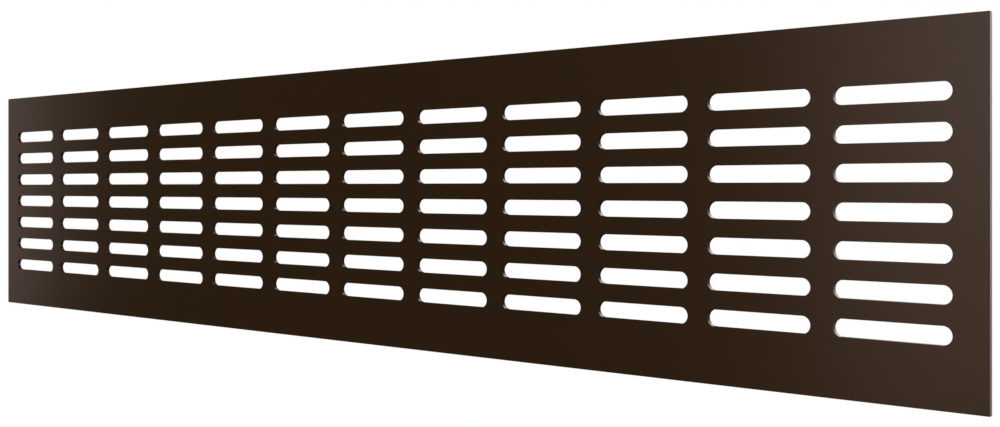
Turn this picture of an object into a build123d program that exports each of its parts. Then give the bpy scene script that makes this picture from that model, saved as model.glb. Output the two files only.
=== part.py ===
from build123d import *
import os

# Transfer air grille: one flat metal sheet with rows of round-ended slots punched through it.
# All sizes are in millimetres. The sheet stands upright, as it is fixed over an opening in a door,
# a wall or a plinth: X runs along it, Z up it and Y through it.
# The back lies on Y = 0, the front faces -Y, and the origin is the middle of the back.

# The sheet
SHEET_LENGTH = 480.0
SHEET_HEIGHT = 100.0
SHEET_THICKNESS = 1.5

# The slots, all made with one punch
SLOT_LENGTH = 32.3  # over the round ends
SLOT_HEIGHT = 4.9
SLOT_BRIDGE = 6.7  # metal between the ends of two slots in a row
SLOT_RIB = 5.4  # metal between a slot and the one above it

# The plain border that is glued or taped to the wall, at the least
END_BORDER = 8.0  # left and right of the slots
LONG_BORDER = 15.0  # above and below the slots


def copies_in(span, size, gap):
    """How many pieces of one size fit in a span with a gap between neighbours."""
    return int((span + gap) // (size + gap))


def slot_places():
    """The middles of the slots: rows and columns, as many as the borders leave room for, centred."""
    columns = copies_in(SHEET_LENGTH - 2 * END_BORDER, SLOT_LENGTH, SLOT_BRIDGE)
    rows = copies_in(SHEET_HEIGHT - 2 * LONG_BORDER, SLOT_HEIGHT, SLOT_RIB)
    return GridLocations(SLOT_LENGTH + SLOT_BRIDGE, SLOT_HEIGHT + SLOT_RIB, columns, rows)


def grille_plate():
    """The sheet, drawn on its back face with the slots cut out, and given its thickness."""
    with BuildPart() as plate:
        with BuildSketch(Plane.XZ):
            Rectangle(SHEET_LENGTH, SHEET_HEIGHT)
            with slot_places():
                SlotOverall(SLOT_LENGTH, SLOT_HEIGHT, mode=Mode.SUBTRACT)
        extrude(amount=SHEET_THICKNESS)
    return plate.part


os.makedirs("parts", exist_ok=True)
export_step(grille_plate(), "parts/grille_plate.step")
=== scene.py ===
import math

import bpy
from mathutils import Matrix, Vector


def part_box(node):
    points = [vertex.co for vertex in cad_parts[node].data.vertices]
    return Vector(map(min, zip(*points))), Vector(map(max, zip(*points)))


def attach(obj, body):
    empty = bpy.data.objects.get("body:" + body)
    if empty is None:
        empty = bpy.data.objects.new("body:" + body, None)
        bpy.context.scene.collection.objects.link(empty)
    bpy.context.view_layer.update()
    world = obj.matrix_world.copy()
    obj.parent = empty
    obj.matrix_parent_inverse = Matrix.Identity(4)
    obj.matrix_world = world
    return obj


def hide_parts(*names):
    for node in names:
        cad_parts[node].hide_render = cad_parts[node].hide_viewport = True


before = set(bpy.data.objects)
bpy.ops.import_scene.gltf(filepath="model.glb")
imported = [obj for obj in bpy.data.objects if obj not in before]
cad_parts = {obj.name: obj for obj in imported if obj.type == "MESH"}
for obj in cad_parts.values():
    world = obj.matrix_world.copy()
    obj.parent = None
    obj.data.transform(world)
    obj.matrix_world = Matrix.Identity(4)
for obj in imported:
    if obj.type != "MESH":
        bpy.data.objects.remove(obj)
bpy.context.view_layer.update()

# A transfer air grille: one flat sheet of metal with punched slots, coated satin dark brown.
# Everything is in metres. The sheet stands upright as it is fixed to a wall or a door:
# X runs along it, Z up it, its back lies on Y = 0 and its front faces -Y.

MM = 0.001
QUARTER_TURN = math.radians(90.0)
WHITE = (1.0, 1.0, 1.0, 1.0)

# The sheet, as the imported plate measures
PLATE_NODE = "grille_plate"
PLATE_LOW, PLATE_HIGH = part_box(PLATE_NODE)
SHEET_LENGTH, SHEET_THICKNESS, SHEET_HEIGHT = PLATE_HIGH - PLATE_LOW

# The slots, all made with one punch, and the plain borders round them
SLOT_LENGTH = 32.3 * MM  # over the round ends
SLOT_HEIGHT = 4.9 * MM
SLOT_BRIDGE = 6.7 * MM  # metal between the ends of two slots in a row
SLOT_RIB = 5.4 * MM  # metal between a slot and the one above it
END_BORDER = 8.0 * MM  # left and right of the slots, at the least
LONG_BORDER = 15.0 * MM  # above and below the slots, at the least

# The soft edges that cutting and coating leave
EDGE_ROUND = 0.04 * MM
CORNER_ROUND = 0.10 * MM
EDGE_LAND = 1.5 * EDGE_ROUND  # how far an edge reaches onto the faces beside it
EDGE_STEPS = 4
CORNER_STEPS = 6
SLOT_END_STEPS = 24
WELD_DISTANCE = 0.0005 * MM

# The coat
COAT_DEEP_BROWN = (0.0216, 0.0108, 0.0039, 1.0)
COAT_LIGHT_BROWN = (0.0226, 0.0113, 0.0041, 1.0)
COAT_SHEEN_TINT = (1.0, 0.72, 0.63, 1.0)
COAT_REFRACTION = 1.5
COAT_ROUGHNESS_LOW = 0.195
COAT_ROUGHNESS_HIGH = 0.22
COAT_CLOUD_SIZE = 30 * MM
COAT_CLOUD_DETAIL = 3.0
COAT_SPECKLE_SIZE = 2 * MM
COAT_SPECKLE_DETAIL = 2.0
COAT_PEEL_SIZE = 0.7 * MM
COAT_PEEL_DETAIL = 1.0
COAT_PEEL_DEPTH = 0.0005 * MM

# The floor, which fades to white by the distance from the sheet's middle
FLOOR_LEVEL = -0.30
FLOOR_REACH = 6.0
FLOOR_COLOUR = (0.8, 0.8, 0.8, 1.0)
FLOOR_FADE_START = 0.5
FLOOR_FADE_END = 1.2

# The even fill that the room gives from all round
ROOM_FILL = 0.7

# The bright backdrop behind the sheet, as its gloss shows it, by the X and Z of a direction:
# a round glow with a soft rim, which gets brighter upwards
BACKDROP_GLOW = 4.3
BACKDROP_DARK_BELOW = -0.47
BACKDROP_BRIGHT_ABOVE = 0.72
BACKDROP_MIDDLE_X = 0.03
BACKDROP_MIDDLE_Z = 0.12
BACKDROP_HALF_WIDTH = 0.42
BACKDROP_HALF_HEIGHT = 0.67
BACKDROP_SOFT_RIM = 0.2

# The softboxes, with a brightness of which 1 shows as white
WHITE_LIGHT = (1.0, 1.0, 1.0)
CREAM_LIGHT = (1.0, 0.90, 0.85)
WARM_LIGHT = (1.0, 0.52, 0.05)
COOL_LIGHT = (0.65, 0.85, 1.0)
SOFTBOXES = {
    "key_softbox": {
        "place": (-0.9, -1.4, 1.6),
        "aim": (0.0, 0.0, 0.0),
        "width": 1.6,
        "height": 1.6,
        "brightness": 1.6,
        "colour": WHITE_LIGHT,
    },
    "left_strip": {
        "place": (-0.863, -0.310, 0.106),
        "aim": (-0.1, 0.0, 0.0),
        "width": 0.090,
        "height": 0.480,
        "brightness": 0.90,
        "colour": CREAM_LIGHT,
    },
    "front_panel": {
        "place": (-0.137, -2.719, 0.495),
        "aim": (0.15, 0.0, 0.0),
        "width": 1.99,
        "height": 2.34,
        "brightness": 0.77,
        "colour": WHITE_LIGHT,
    },
    "warm_front_panel": {
        "place": (-0.373, -2.684, 0.491),
        "aim": (0.15, 0.0, 0.0),
        "width": 2.15,
        "height": 2.82,
        "brightness": 0.09,
        "colour": WARM_LIGHT,
    },
    "upper_front_panel": {
        "place": (-0.027, -2.600, 0.709),
        "aim": (-0.027, 0.0, 0.709),
        "width": 1.60,
        "height": 1.40,
        "brightness": 0.76,
        "colour": COOL_LIGHT,
    },
    "right_strip": {
        "place": (2.53, 1.27, 0.20),
        "aim": (-0.19, 0.0, 0.0),
        "width": 0.25,
        "height": 0.80,
        "brightness": 10.5,
        "colour": WHITE_LIGHT,
    },
}

# The photograph's camera, with its lens and sensor in millimetres as Blender takes them
CAMERA_PLACE = (0.3540, -0.3172, 0.00648)
CAMERA_TURN = math.radians(40.9)
CAMERA_LENS = 45.85
CAMERA_SENSOR_WIDTH = 36.0
CAMERA_SHIFT_UP = -0.02605
CAMERA_NEAREST = 0.01


def put_in_scene(name, data):
    """A new object in the scene, at the origin."""
    placed = bpy.data.objects.new(name, data)
    bpy.context.scene.collection.objects.link(placed)
    return placed


# Helpers for node trees

def add_node(tree, kind, inputs=None, **options):
    """Add a node with these options; its inputs take values or other nodes' outputs."""
    node = tree.nodes.new(kind)
    for option, setting in options.items():
        setattr(node, option, setting)
    for key, given in (inputs or {}).items():
        socket = node.inputs[key]
        if isinstance(given, bpy.types.NodeSocket):
            tree.links.new(given, socket)
        else:
            socket.default_value = given
    return node


def reckon(tree, operation, first, second=0.0):
    """The result of a sum on numbers or outputs."""
    return add_node(tree, "ShaderNodeMath", {0: first, 1: second}, operation=operation).outputs[0]


def point(tree, x=0.0, y=0.0, z=0.0):
    """A point or a shift, from numbers or outputs."""
    return add_node(tree, "ShaderNodeCombineXYZ", {"X": x, "Y": y, "Z": z}).outputs[0]


def position(tree):
    """The place of each point, as its three outputs X, Y and Z."""
    place = add_node(tree, "GeometryNodeInputPosition").outputs[0]
    return add_node(tree, "ShaderNodeSeparateXYZ", {0: place}).outputs


def ramp(tree, value, start, end, kind):
    """A share that goes from 0 to 1 as a value goes from its start to its end."""
    return add_node(tree, "ShaderNodeMapRange", {
        "Value": value,
        "From Min": start,
        "From Max": end,
    }, interpolation_type=kind).outputs[0]


# Geometry nodes of the slotted sheet, drawn lying flat: X along it, Y up its height, front face up

SHEET_INPUTS = {
    "Sheet Length": ("NodeSocketFloat", SHEET_LENGTH),
    "Sheet Height": ("NodeSocketFloat", SHEET_HEIGHT),
    "Sheet Thickness": ("NodeSocketFloat", SHEET_THICKNESS),
    "Slot Length": ("NodeSocketFloat", SLOT_LENGTH),
    "Slot Height": ("NodeSocketFloat", SLOT_HEIGHT),
    "Slot Bridge": ("NodeSocketFloat", SLOT_BRIDGE),
    "Slot Rib": ("NodeSocketFloat", SLOT_RIB),
    "End Border": ("NodeSocketFloat", END_BORDER),
    "Long Border": ("NodeSocketFloat", LONG_BORDER),
    "Edge Round": ("NodeSocketFloat", EDGE_ROUND),
    "Edge Land": ("NodeSocketFloat", EDGE_LAND),
    "Corner Round": ("NodeSocketFloat", CORNER_ROUND),
    "Weld Distance": ("NodeSocketFloat", WELD_DISTANCE),
    "Edge Steps": ("NodeSocketInt", EDGE_STEPS),
    "Corner Steps": ("NodeSocketInt", CORNER_STEPS),
    "Slot End Steps": ("NodeSocketInt", SLOT_END_STEPS),
}


def edge_section(tree, size):
    """The section of a cut edge as an open line: a land, the wall between two rounds, and a land.

    It starts on the back face. A sweep turns the section's own Y downwards, so the front face lies
    at minus the thickness here.
    """
    front = reckon(tree, "MULTIPLY", size["Sheet Thickness"], -1.0)
    corners = add_node(tree, "GeometryNodeCurvePrimitiveQuadrilateral", {
        "Point 1": point(tree, size["Edge Land"]),
        "Point 2": point(tree),
        "Point 3": point(tree, 0.0, front),
        "Point 4": point(tree, size["Edge Land"], front),
    }, mode="POINTS")
    opened = add_node(tree, "GeometryNodeSetSplineCyclic", {0: corners.outputs[0], "Cyclic": False})
    rounded = add_node(tree, "GeometryNodeFilletCurve", {
        "Curve": opened.outputs[0],
        "Count": size["Edge Steps"],
        "Radius": size["Edge Round"],
    }, mode="POLY")
    return rounded.outputs[0]


def slot_outline(tree, size):
    """A many-sided circle as wide as the slot is high, pulled apart so that its halves are the ends.

    It is turned by half a side, so that a side and not a corner touches the slot's height and length.
    """
    sides = reckon(tree, "MULTIPLY", size["Slot End Steps"], 2.0)
    half_side_angle = reckon(tree, "DIVIDE", math.pi, sides)
    flat_radius = reckon(tree, "MULTIPLY", size["Slot Height"], 0.5)
    corner_radius = reckon(tree, "DIVIDE", flat_radius, reckon(tree, "COSINE", half_side_angle))
    circle = add_node(tree, "GeometryNodeCurvePrimitiveCircle", {
        "Resolution": sides,
        "Radius": corner_radius,
    })
    turned = add_node(tree, "GeometryNodeTransform", {
        "Geometry": circle.outputs[0],
        "Rotation": point(tree, z=half_side_angle),
    })
    straight = reckon(tree, "SUBTRACT", size["Slot Length"], size["Slot Height"])
    end_distance = reckon(tree, "MULTIPLY", straight, 0.5)
    pull = reckon(tree, "MULTIPLY", reckon(tree, "SIGN", position(tree)["X"]), end_distance)
    pulled = add_node(tree, "GeometryNodeSetPosition", {
        "Geometry": turned.outputs[0],
        "Offset": point(tree, pull),
    })
    return pulled.outputs[0]


def sheet_outline(tree, size):
    """The rectangle of the sheet with its corners just broken, run round the other way from the slots."""
    rectangle = add_node(tree, "GeometryNodeCurvePrimitiveQuadrilateral", {
        "Width": size["Sheet Length"],
        "Height": size["Sheet Height"],
    })
    broken = add_node(tree, "GeometryNodeFilletCurve", {
        "Curve": rectangle.outputs[0],
        "Count": size["Corner Steps"],
        "Radius": size["Corner Round"],
    }, mode="POLY")
    return add_node(tree, "GeometryNodeReverseCurve", {"Curve": broken.outputs[0]}).outputs[0]


def copies_in(tree, span, border, length, gap):
    """How many pieces of one length fit between two borders, and how far apart the outer middles are."""
    room = reckon(tree, "SUBTRACT", span, reckon(tree, "MULTIPLY", border, 2.0))
    pitch = reckon(tree, "ADD", length, gap)
    count = reckon(tree, "FLOOR", reckon(tree, "DIVIDE", reckon(tree, "ADD", room, gap), pitch))
    reach = reckon(tree, "MULTIPLY", reckon(tree, "SUBTRACT", count, 1.0), pitch)
    return count, reach


def slot_places(tree, size):
    """The middles of the slots, in rows and columns centred on the sheet."""
    columns, along = copies_in(
        tree, size["Sheet Length"], size["End Border"], size["Slot Length"], size["Slot Bridge"])
    rows, up = copies_in(
        tree, size["Sheet Height"], size["Long Border"], size["Slot Height"], size["Slot Rib"])
    grid = add_node(tree, "GeometryNodeMeshGrid", {
        "Size X": along,
        "Size Y": up,
        "Vertices X": columns,
        "Vertices Y": rows,
    })
    return grid.outputs[0]


def cut_edges(tree, size):
    """The walls of all the slots and of the sheet's rim, each with its rounds and lands."""
    section = edge_section(tree, size)
    slot_wall = add_node(tree, "GeometryNodeCurveToMesh", {
        "Curve": slot_outline(tree, size),
        "Profile Curve": section,
    })
    slot_walls = add_node(tree, "GeometryNodeInstanceOnPoints", {
        "Points": slot_places(tree, size),
        "Instance": slot_wall.outputs[0],
    })
    rim = add_node(tree, "GeometryNodeCurveToMesh", {
        "Curve": sheet_outline(tree, size),
        "Profile Curve": section,
    })
    both = add_node(tree, "GeometryNodeJoinGeometry", {0: slot_walls.outputs[0]})
    tree.links.new(rim.outputs[0], both.inputs[0])
    return add_node(tree, "GeometryNodeRealizeInstances", {0: both.outputs[0]}).outputs[0]


def flat_face(tree, size, edges, level, side):
    """The metal between the open edges on one side of the sheet's mid plane, filled in at a level."""
    faces_there = add_node(tree, "GeometryNodeInputMeshEdgeNeighbors").outputs[0]
    is_open = reckon(tree, "COMPARE", faces_there, 1.0)
    mid_plane = reckon(tree, "MULTIPLY", size["Sheet Thickness"], 0.5)
    on_side = reckon(tree, side, position(tree)["Z"], mid_plane)
    loops = add_node(tree, "GeometryNodeMeshToCurve", {
        "Mesh": edges,
        "Selection": reckon(tree, "MULTIPLY", is_open, on_side),
    })
    filled = add_node(tree, "GeometryNodeFillCurve", {"Curve": loops.outputs[0]}, mode="TRIANGLES")
    lifted = add_node(tree, "GeometryNodeTransform", {
        "Geometry": filled.outputs[0],
        "Translation": point(tree, z=level),
    })
    return lifted.outputs[0]


def slotted_sheet_tree():
    """The whole sheet: cut edges, front and back faces, welded, stood upright and coated."""
    tree = bpy.data.node_groups.new("slotted_sheet", "GeometryNodeTree")
    for name, (kind, _) in SHEET_INPUTS.items():
        tree.interface.new_socket(name, in_out="INPUT", socket_type=kind)
    tree.interface.new_socket("Coat", in_out="INPUT", socket_type="NodeSocketMaterial")
    tree.interface.new_socket("Sheet", in_out="OUTPUT", socket_type="NodeSocketGeometry")
    size = add_node(tree, "NodeGroupInput").outputs
    edges = cut_edges(tree, size)
    front = flat_face(tree, size, edges, size["Sheet Thickness"], "GREATER_THAN")
    back = flat_face(tree, size, edges, 0.0, "LESS_THAN")
    back_outwards = add_node(tree, "GeometryNodeFlipFaces", {0: back})
    parts = add_node(tree, "GeometryNodeJoinGeometry", {0: edges})
    tree.links.new(front, parts.inputs[0])
    tree.links.new(back_outwards.outputs[0], parts.inputs[0])
    welded = add_node(tree, "GeometryNodeMergeByDistance", {
        "Geometry": parts.outputs[0],
        "Distance": size["Weld Distance"],
    })
    upright = add_node(tree, "GeometryNodeTransform", {
        "Geometry": welded.outputs[0],
        "Rotation": (QUARTER_TURN, 0.0, 0.0),
    })
    smooth = add_node(tree, "GeometryNodeSetShadeSmooth", {0: upright.outputs[0]})
    whole = add_node(tree, "GeometryNodeRealizeInstances", {0: smooth.outputs[0]})
    coated = add_node(tree, "GeometryNodeSetMaterial", {0: whole.outputs[0], "Material": size["Coat"]})
    add_node(tree, "NodeGroupOutput", {0: coated.outputs[0]})
    return tree


# The sheet

def even_shading(mesh):
    """Shade each point by the faces round it, large ones most, so that the flats look flat."""
    leanings = [Vector() for _ in mesh.vertices]
    for face in mesh.polygons:
        for corner in face.vertices:
            leanings[corner] += face.area * face.normal
    mesh.normals_split_custom_set_from_vertices([leaning.normalized() for leaning in leanings])


def slotted_sheet(coat):
    """The grille's one piece: the sheet from its geometry nodes, as a plain mesh."""
    drawing = put_in_scene("sheet_drawing", bpy.data.meshes.new("sheet_drawing"))
    tree = slotted_sheet_tree()
    modifier = drawing.modifiers.new("slotted_sheet", "NODES")
    modifier.node_group = tree
    values = {name: value for name, (_, value) in SHEET_INPUTS.items()}
    values["Coat"] = coat
    for socket in tree.interface.items_tree:
        if socket.in_out == "INPUT":
            modifier[socket.identifier] = values[socket.name]
    evaluated = drawing.evaluated_get(bpy.context.evaluated_depsgraph_get())
    mesh = bpy.data.meshes.new_from_object(evaluated)
    mesh.name = "slotted_sheet"
    bpy.data.objects.remove(drawing)
    even_shading(mesh)
    sheet = put_in_scene("slotted_sheet", mesh)
    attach(sheet, "root")
    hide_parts(PLATE_NODE)


# The coat

def coat_noise(tree, place, size, detail):
    """A smooth noise from 0 to 1 whose blotches are about this wide."""
    return add_node(tree, "ShaderNodeTexNoise", {
        "Vector": place,
        "Scale": 1.0 / size,
        "Detail": detail,
    }).outputs["Fac"]


def brown_coat():
    """Satin dark brown enamel: a faintly cloudy brown under a warm sheen, with a very fine peel."""
    material = bpy.data.materials.new("brown_coat")
    material.use_nodes = True
    tree = material.node_tree
    shader = tree.nodes["Principled BSDF"]
    shader.inputs["IOR"].default_value = COAT_REFRACTION
    shader.inputs["Specular Tint"].default_value = COAT_SHEEN_TINT
    place = add_node(tree, "ShaderNodeTexCoord").outputs["Object"]

    colour = add_node(tree, "ShaderNodeMix", {
        "Factor": coat_noise(tree, place, COAT_CLOUD_SIZE, COAT_CLOUD_DETAIL),
        "A": COAT_DEEP_BROWN,
        "B": COAT_LIGHT_BROWN,
    }, data_type="RGBA")
    tree.links.new(colour.outputs["Result"], shader.inputs["Base Color"])

    roughness = add_node(tree, "ShaderNodeMapRange", {
        "Value": coat_noise(tree, place, COAT_SPECKLE_SIZE, COAT_SPECKLE_DETAIL),
        "To Min": COAT_ROUGHNESS_LOW,
        "To Max": COAT_ROUGHNESS_HIGH,
    })
    tree.links.new(roughness.outputs[0], shader.inputs["Roughness"])

    peel = add_node(tree, "ShaderNodeBump", {
        "Height": coat_noise(tree, place, COAT_PEEL_SIZE, COAT_PEEL_DETAIL),
        "Distance": COAT_PEEL_DEPTH,
    })
    tree.links.new(peel.outputs[0], shader.inputs["Normal"])
    return material


# The studio

def pale_paint():
    """The floor's dull pale paint, which fades into the white backdrop away from the sheet."""
    material = bpy.data.materials.new("pale_floor")
    material.use_nodes = True
    tree = material.node_tree
    shader = tree.nodes["Principled BSDF"]
    shader.inputs["Base Color"].default_value = FLOOR_COLOUR
    shader.inputs["Roughness"].default_value = 1.0
    shader.inputs["Specular IOR Level"].default_value = 0.0
    place = add_node(tree, "ShaderNodeTexCoord").outputs["Object"]
    distance = add_node(tree, "ShaderNodeVectorMath", {0: place}, operation="LENGTH").outputs["Value"]
    white = add_node(tree, "ShaderNodeEmission", {"Color": WHITE})
    blend = add_node(tree, "ShaderNodeMixShader", {
        0: ramp(tree, distance, FLOOR_FADE_START, FLOOR_FADE_END, "SMOOTHSTEP"),
        1: shader.outputs[0],
        2: white.outputs[0],
    })
    tree.links.new(blend.outputs[0], tree.nodes["Material Output"].inputs["Surface"])
    return material


def floor_below(paint):
    """A plain flat floor below the sheet, which its gloss doesn't show."""
    corners = [
        (-FLOOR_REACH, -FLOOR_REACH, FLOOR_LEVEL),
        (FLOOR_REACH, -FLOOR_REACH, FLOOR_LEVEL),
        (FLOOR_REACH, FLOOR_REACH, FLOOR_LEVEL),
        (-FLOOR_REACH, FLOOR_REACH, FLOOR_LEVEL),
    ]
    mesh = bpy.data.meshes.new("floor")
    mesh.from_pydata(corners, [], [(0, 1, 2, 3)])
    mesh.materials.append(paint)
    floor = put_in_scene("floor", mesh)
    floor.visible_glossy = False


def backdrop_glow(tree):
    """The backdrop's brightness in each direction: a round glow behind the sheet only, brighter upwards."""
    direction = add_node(tree, "ShaderNodeTexCoord").outputs["Generated"]
    along = add_node(tree, "ShaderNodeSeparateXYZ", {0: direction}).outputs
    beside = reckon(tree, "SUBTRACT", along["X"], BACKDROP_MIDDLE_X)
    above = reckon(tree, "SUBTRACT", along["Z"], BACKDROP_MIDDLE_Z)
    from_middle = point(
        tree,
        reckon(tree, "DIVIDE", beside, BACKDROP_HALF_WIDTH),
        reckon(tree, "DIVIDE", above, BACKDROP_HALF_HEIGHT),
    )
    distance = add_node(tree, "ShaderNodeVectorMath", {0: from_middle}, operation="LENGTH").outputs["Value"]
    disc = ramp(tree, distance, 1.0 + BACKDROP_SOFT_RIM, 1.0 - BACKDROP_SOFT_RIM, "SMOOTHSTEP")
    upwards = ramp(tree, along["Z"], BACKDROP_DARK_BELOW, BACKDROP_BRIGHT_ABOVE, "LINEAR")
    behind = reckon(tree, "GREATER_THAN", along["Y"], 0.0)
    shape = reckon(tree, "MULTIPLY", reckon(tree, "MULTIPLY", disc, upwards), behind)
    return reckon(tree, "MULTIPLY", shape, BACKDROP_GLOW)


def studio_world():
    """White to the camera, an even fill on the sheet and the floor, and the backdrop in the gloss."""
    world = bpy.data.worlds.new("studio")
    world.use_nodes = True
    tree = world.node_tree
    background = tree.nodes["Background"]
    background.inputs["Color"].default_value = WHITE
    rays = add_node(tree, "ShaderNodeLightPath").outputs
    seen = reckon(tree, "ADD", rays["Is Camera Ray"], rays["Is Transmission Ray"])
    fill = reckon(tree, "MULTIPLY", rays["Is Diffuse Ray"], ROOM_FILL)
    gloss = reckon(tree, "MULTIPLY", rays["Is Glossy Ray"], backdrop_glow(tree))
    strength = reckon(tree, "ADD", seen, reckon(tree, "ADD", fill, gloss))
    tree.links.new(strength, background.inputs["Strength"])
    bpy.context.scene.world = world


def softbox(name, place, aim, width, height, brightness, colour):
    """A rectangular lamp of even brightness, turned to its aim and unseen by the camera."""
    data = bpy.data.lights.new(name, "AREA")
    data.shape = "RECTANGLE"
    data.size = width
    data.size_y = height
    data.energy = brightness * math.pi * width * height
    data.color = colour
    lamp = put_in_scene(name, data)
    lamp.location = place
    lamp.rotation_euler = (Vector(aim) - Vector(place)).to_track_quat("-Z", "Y").to_euler()
    lamp.visible_camera = False


def photo_camera():
    """The photograph's view."""
    data = bpy.data.cameras.new("photo_camera")
    data.sensor_width = CAMERA_SENSOR_WIDTH
    data.lens = CAMERA_LENS
    data.shift_y = CAMERA_SHIFT_UP
    data.clip_start = CAMERA_NEAREST
    camera = put_in_scene("photo_camera", data)
    camera.location = CAMERA_PLACE
    camera.rotation_euler = (QUARTER_TURN, 0.0, CAMERA_TURN)
    bpy.context.scene.camera = camera


slotted_sheet(brown_coat())
floor_below(pale_paint())
studio_world()
for lamp_name, lamp_values in SOFTBOXES.items():
    softbox(lamp_name, **lamp_values)
photo_camera()
bpy.context.scene.view_settings.view_transform = "Standard"
